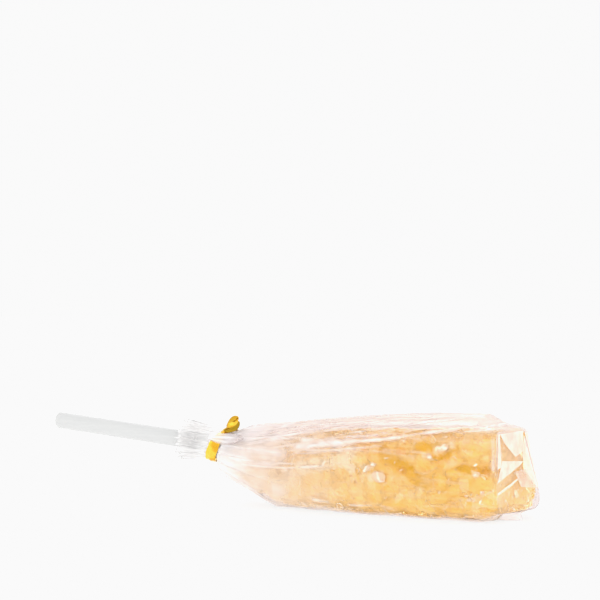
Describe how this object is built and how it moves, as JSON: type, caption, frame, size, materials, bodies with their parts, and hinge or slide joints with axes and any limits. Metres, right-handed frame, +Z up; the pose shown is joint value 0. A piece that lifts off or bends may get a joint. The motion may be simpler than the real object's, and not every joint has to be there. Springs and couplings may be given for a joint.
{
  "type": "rock candy stick",
  "caption": "Amber sugar crystals grown on a white stick, lying on its side in a clear film bag gathered round the stick with a gold twist tie.",
  "frame": {"origin": "on the floor, under the middle of the whole part's box", "axes": "+X along the stick from its free end to the folded end of the bag, +Z up, -Y towards the shown side"},
  "size_m": [0.142, 0.027, 0.0256],
  "materials": {
    "wrapped_candy": "translucent amber sugar crystals under creased clear film",
    "stick": "white plastic",
    "twist_tie": "gold foil ribbon over a wire"
  },
  "bodies": {
    "root": {"wrapped_candy": "wrapped_candy", "stick": "stick", "twist_tie": "twist_tie"}
  },
  "joints": []
}
